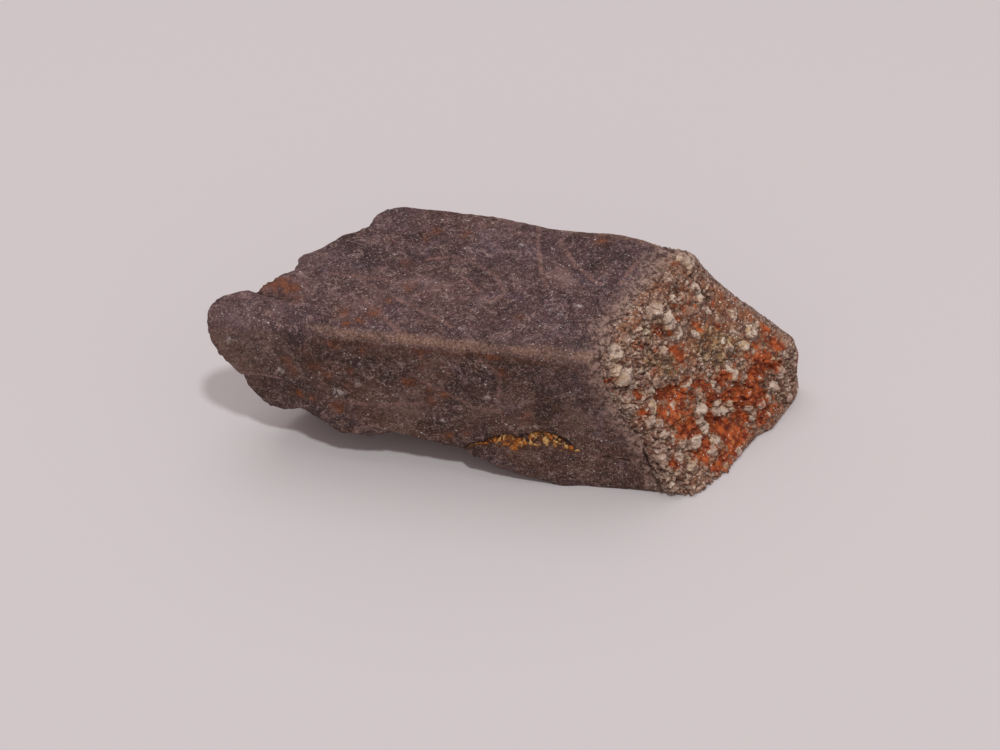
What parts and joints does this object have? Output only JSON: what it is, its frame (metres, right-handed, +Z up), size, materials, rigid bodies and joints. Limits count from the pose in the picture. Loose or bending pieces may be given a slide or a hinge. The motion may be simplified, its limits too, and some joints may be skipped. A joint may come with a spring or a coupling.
{
  "type": "zircon crystal",
  "caption": "Loose brown zircon crystal, a stout square prism lying on one face, broken obliquely at one end and crusted with pale feldspar grains and rust at the other.",
  "frame": {"origin": "on the surface the crystal rests on, below the middle of its bounding box", "axes": "+X along the prism towards the crusted end, +Z up from the face it rests on, +Y towards the back prism face"},
  "size_m": [0.043, 0.0154, 0.0132],
  "materials": {
    "zircon": null
  },
  "bodies": {
    "root": {"zircon_crystal": "zircon"}
  },
  "joints": []
}
